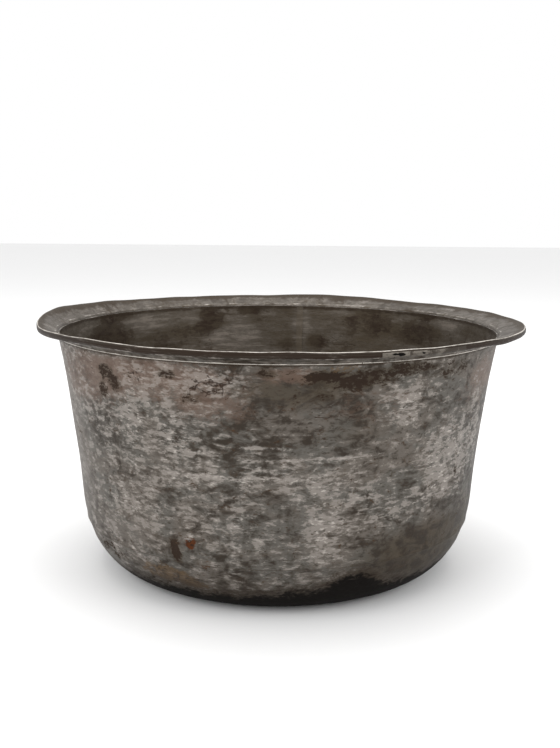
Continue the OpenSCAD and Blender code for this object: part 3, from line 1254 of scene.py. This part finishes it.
class PAN_OT_base_seam(PanOperator, bpy.types.Operator):
    """Runs the braze round the lap of wall and base"""

    bl_idname = "pan.base_seam"
    bl_label = "Base seam"

    def execute(self, context):
        s = sheets()
        bead = BEAD_Z - UPSTAND_Z
        ledge = KNEE_Z - s.film
        section = [(KNEE_R - s.wall_t - s.film, ledge), (KNEE_R, ledge), (KNEE_R, KNEE_Z)]
        section += wall_line(KNEE_Z, UPSTAND_Z, s.wall_t, 5)
        section += [(wall_r(BEAD_Z) - s.wall_t, BEAD_Z)]
        hollow = (wall_r(BEAD_Z) - s.wall_t - 0.4 * bead, UPSTAND_Z + 0.4 * bead)
        section += [hollow, (wall_r(UPSTAND_Z) - s.wall_t - s.film - bead, UPSTAND_Z)]
        section += wall_line(KNEE_Z, UPSTAND_Z, s.wall_t + s.film, 5)[::-1]
        piece = turned("base_seam_braze_run", section)
        settle(piece, "base_seam_braze", braze_material())
        return {"FINISHED"}


class PAN_OT_side_seam(PanOperator, bpy.types.Operator):
    """Fills the wall's side seam and leaves its two flat strips"""

    bl_idname = "pan.side_seam"
    bl_label = "Side seam"

    def execute(self, context):
        s, m = sheets(), seams()
        az = math.degrees(m.side_az)
        web_sweep = math.degrees(m.side_gap / KNEE_R)
        strip_sweep = math.degrees(m.side_w / KNEE_R)
        web = wall_line(KNEE_Z, land_z(), 0, 60) + [(NECK_R, WALL_TOP_Z), (NECK_R - s.wall_t, WALL_TOP_Z)]
        web += wall_line(KNEE_Z, land_z(), s.wall_t, 60)[::-1]
        inside = wall_line(BEAD_Z, land_z(), s.wall_t, 60)
        inside += [(NECK_R - s.wall_t, WALL_TOP_Z), (NECK_R - s.wall_t - m.side_proud, WALL_TOP_Z)]
        inside += wall_line(BEAD_Z, land_z(), s.wall_t + m.side_proud, 60)[::-1]
        outside = wall_line(KNEE_Z, land_z(), -m.side_proud, 60) + wall_line(KNEE_Z, land_z(), 0, 60)[::-1]
        parts = [
            turned("side_seam_braze_run", web, az, web_sweep, 2),
            turned("side_seam_inside", inside, az, strip_sweep, 10),
            turned("side_seam_outside", outside, az, strip_sweep, 10),
        ]
        piece = join(parts)
        settle(piece, "side_seam_braze", braze_material())
        return {"FINISHED"}


class PAN_OT_collar_seam(PanOperator, bpy.types.Operator):
    """Runs the solder between the skirt and the wall"""

    bl_idname = "pan.collar_seam"
    bl_label = "Collar seam"

    def execute(self, context):
        s = sheets()
        bend = bend_centre()
        radius = s.bend_r + s.collar_t
        rise = math.degrees(math.asin((WALL_TOP_Z - bend[1]) / radius))
        section = [(NECK_R, SKIRT_Z), (NECK_R + s.film, SKIRT_Z)]
        section += arc(bend, radius, 180, 180 - rise, 6) + [(NECK_R, WALL_TOP_Z)]
        piece = turned("collar_seam_solder_run", section, steps=720)
        settle(piece, "collar_seam_solder", solder_material())
        return {"FINISHED"}


class PAN_OT_rim_joint(PanOperator, bpy.types.Operator):
    """Fills the collar's slanted joint and wipes solder along the lip"""

    bl_idname = "pan.rim_joint"
    bl_label = "Rim joint"

    def execute(self, context):
        s, m = sheets(), seams()
        az = math.degrees(m.joint_az)
        half = s.collar_t / 2
        fill_sweep = math.degrees(m.joint_gap / RIM_R)
        fill = collar_face(half) + collar_face(-half)[::-1]
        fold = fold_centre()
        lip_r = hold_r() + s.collar_t
        wiped = [(RIM_R, fold[1]), (RIM_R + m.wiped_t, fold[1])]
        wiped += arc(WIRE_C, lip_r + m.wiped_t, 0, -60, 8) + arc(WIRE_C, lip_r, 0, -60, 8)[::-1]
        wiped_sweep = math.degrees(m.wiped_len / RIM_R)
        parts = [
            turned("rim_joint_solder_fill", fill, az, fill_sweep, 2, skew=joint_skew),
            turned("rim_joint_wiped", wiped, az + wiped_sweep / 2, wiped_sweep, 60),
        ]
        settle(join(parts), "rim_joint_solder", solder_material())
        return {"FINISHED"}


PIECE_OPERATORS = (
    PAN_OT_base_dish,
    PAN_OT_wall_band,
    PAN_OT_rim_collar,
    PAN_OT_rim_wire,
    PAN_OT_base_seam,
    PAN_OT_side_seam,
    PAN_OT_collar_seam,
    PAN_OT_rim_joint,
)


class PAN_PT_pan(bpy.types.Panel):
    """Lists the pan's pieces and its settings"""

    bl_idname = "PAN_PT_pan"
    bl_label = "Beaten pan"
    bl_space_type = "VIEW_3D"
    bl_region_type = "UI"
    bl_category = "Pan"

    def draw(self, context):
        layout = self.layout
        layout.operator(PAN_OT_stage.bl_idname)
        for operator in PIECE_OPERATORS:
            layout.operator(operator.bl_idname)
        for settings in SETTINGS:
            group = getattr(context.scene, settings)
            box = layout.box()
            box.label(text=settings.replace("_", " ").capitalize())
            for name in group.bl_rna.properties.keys():
                if name not in ("rna_type", "name"):
                    box.prop(group, name)


SETTINGS = {
    "pan_sheets": PanSheetSettings,
    "pan_seams": PanSeamSettings,
    "pan_beating": PanBeatingSettings,
    "pan_colours": PanColourSettings,
    "pan_stage": PanStageSettings,
}
CLASSES = (*SETTINGS.values(), PAN_OT_stage, *PIECE_OPERATORS, PAN_PT_pan)


def register():
    for cls in CLASSES:
        bpy.utils.register_class(cls)
    for name, cls in SETTINGS.items():
        setattr(bpy.types.Scene, name, PointerProperty(type=cls))


def unregister():
    for name in SETTINGS:
        delattr(bpy.types.Scene, name)
    for cls in reversed(CLASSES):
        bpy.utils.unregister_class(cls)


def clear_startup():
    """Removes the start-up cube, lamp and camera."""
    kept = set(frame["nodes"].values()) | set(frame["bodies"].values())
    for thing in list(bpy.data.objects):
        if thing not in kept:
            bpy.data.objects.remove(thing)


def main():
    clear_startup()
    register()
    bpy.ops.pan.stage()
    for operator in PIECE_OPERATORS:
        group, name = operator.bl_idname.split(".")
        result = getattr(getattr(bpy.ops, group), name)()
        if result != {"FINISHED"}:
            raise RuntimeError(f"{operator.bl_label} didn't finish")


if __name__ == "__main__":
    main()
